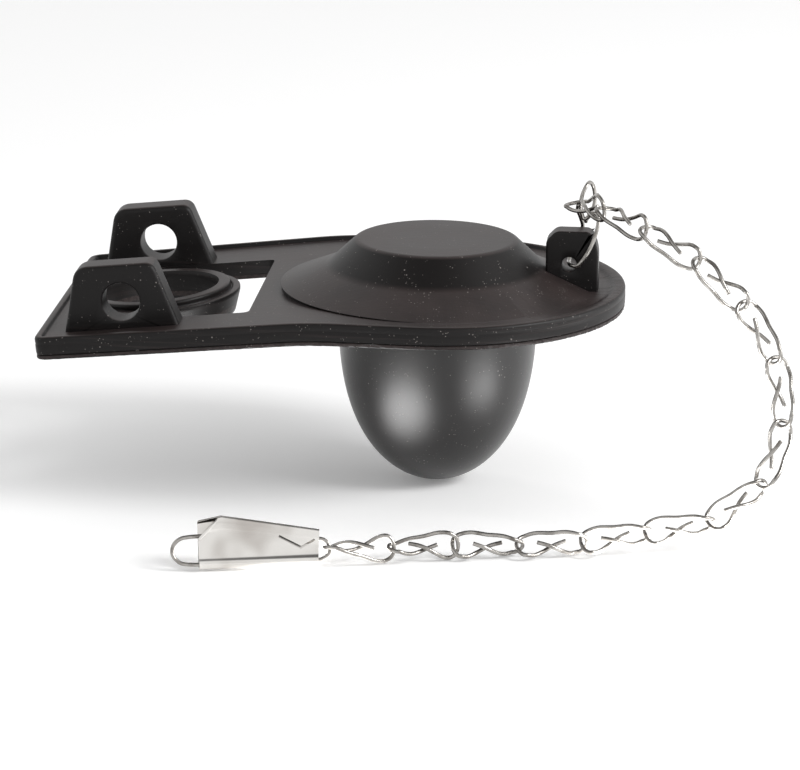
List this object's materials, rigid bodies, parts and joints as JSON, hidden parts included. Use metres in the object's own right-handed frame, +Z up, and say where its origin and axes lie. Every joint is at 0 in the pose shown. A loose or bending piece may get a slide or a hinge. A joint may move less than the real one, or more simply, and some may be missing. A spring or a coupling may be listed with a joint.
{
  "type": "toilet flapper",
  "caption": "Rubber flush-valve flapper with a domed disc, float bulb, hinge ears and overflow ring, and a wire-link lift chain with a snap clip.",
  "frame": {"origin": "midway between the two pin holes in the ears, on their common axis, which is where the part hangs", "axes": "+X from the hinge ears to the disc and chain lug, +Y along the pin axis, +Z up out of the dome"},
  "size_m": [0.1505, 0.1065, 0.0637],
  "materials": {
    "black_rubber": "satin black moulded rubber with fine dust specks",
    "steel_wire": "bright drawn stainless wire",
    "plated_sheet": "bright folded sheet, slightly warm"
  },
  "bodies": {
    "flapper": {"flapper_body": "black_rubber"},
    "lug_link": {"lug_link": "steel_wire"},
    "link_14": {"chain_link_14": "steel_wire"},
    "link_13": {"chain_link_13": "steel_wire"},
    "link_12": {"chain_link_12": "steel_wire"},
    "link_11": {"chain_link_11": "steel_wire"},
    "link_10": {"chain_link_10": "steel_wire"},
    "link_09": {"chain_link_09": "steel_wire"},
    "link_08": {"chain_link_08": "steel_wire"},
    "link_07": {"chain_link_07": "steel_wire"},
    "link_06": {"chain_link_06": "steel_wire"},
    "link_05": {"chain_link_05": "steel_wire"},
    "link_04": {"chain_link_04": "steel_wire"},
    "link_03": {"chain_link_03": "steel_wire"},
    "link_02": {"chain_link_02": "steel_wire"},
    "link_01": {"chain_link_01": "steel_wire"},
    "clip": {"clip_wire": "steel_wire", "clip_sleeve": "plated_sheet"}
  },
  "joints": [
    {"name": "lug_link_pivot", "type": "hinge", "parent": "flapper", "child": "lug_link", "pos_m": [0.08735, 0, 0.00383], "axis": [0, 1, 0], "range_deg": [-24, 24]},
    {"name": "link_14_pivot", "type": "hinge", "parent": "lug_link", "child": "link_14", "pos_m": [0.08966, -0.00162, 0.01643], "axis": [-0.037, 0.2024, -0.9786], "range_deg": [-24, 24]},
    {"name": "link_13_pivot", "type": "hinge", "parent": "link_14", "child": "link_13", "pos_m": [0.09484, -0.01271, 0.0181], "axis": [0.1572, -0.0608, -0.9857], "range_deg": [-24, 24]},
    {"name": "link_12_pivot", "type": "hinge", "parent": "link_13", "child": "link_12", "pos_m": [0.10359, -0.02158, 0.01609], "axis": [0.1652, -0.0473, 0.9851], "range_deg": [-24, 24]},
    {"name": "link_11_pivot", "type": "hinge", "parent": "link_12", "child": "link_11", "pos_m": [0.11424, -0.02608, 0.01103], "axis": [0.3205, -0.2584, 0.9113], "range_deg": [-24, 24]},
    {"name": "link_10_pivot", "type": "hinge", "parent": "link_11", "child": "link_10", "pos_m": [0.12354, -0.02923, 0.00317], "axis": [-0.5164, 0.3808, -0.7671], "range_deg": [-24, 24]},
    {"name": "link_09_pivot", "type": "hinge", "parent": "link_10", "child": "link_09", "pos_m": [0.13015, -0.03285, -0.00689], "axis": [-0.4958, 0.6522, -0.5734], "range_deg": [-24, 24]},
    {"name": "link_08_pivot", "type": "hinge", "parent": "link_09", "child": "link_08", "pos_m": [0.13185, -0.03696, -0.01872], "axis": [0.6266, -0.6943, 0.3541], "range_deg": [-24, 24]},
    {"name": "link_07_pivot", "type": "hinge", "parent": "link_08", "child": "link_07", "pos_m": [0.12793, -0.04135, -0.02991], "axis": [0.6692, -0.7387, 0.0806], "range_deg": [-24, 24]},
    {"name": "link_06_pivot", "type": "hinge", "parent": "link_07", "child": "link_06", "pos_m": [0.11778, -0.04479, -0.03673], "axis": [-0.5648, 0.6876, 0.4564], "range_deg": [-24, 24]},
    {"name": "link_05_pivot", "type": "hinge", "parent": "link_06", "child": "link_05", "pos_m": [0.10552, -0.04734, -0.03822], "axis": [-0.2335, 0.6741, 0.7008], "range_deg": [-24, 24]},
    {"name": "link_04_pivot", "type": "hinge", "parent": "link_05", "child": "link_04", "pos_m": [0.09322, -0.04925, -0.03997], "axis": [0.1982, -0.7449, -0.637], "range_deg": [-24, 24]},
    {"name": "link_03_pivot", "type": "hinge", "parent": "link_04", "child": "link_03", "pos_m": [0.08085, -0.05144, -0.04036], "axis": [0.1586, -0.8607, -0.4838], "range_deg": [-24, 24]},
    {"name": "link_02_pivot", "type": "hinge", "parent": "link_03", "child": "link_02", "pos_m": [0.06852, -0.05385, -0.03987], "axis": [-0.1037, 0.7134, 0.693], "range_deg": [-24, 24]},
    {"name": "link_01_pivot", "type": "hinge", "parent": "link_02", "child": "link_01", "pos_m": [0.05632, -0.05691, -0.03993], "axis": [-0.232, 0.9725, -0.0186], "range_deg": [-24, 24]},
    {"name": "clip_pivot", "type": "hinge", "parent": "link_01", "child": "clip", "pos_m": [0.04423, -0.06028, -0.03922], "axis": [0.2715, -0.9114, 0.3092], "range_deg": [-24, 24]}
  ]
}
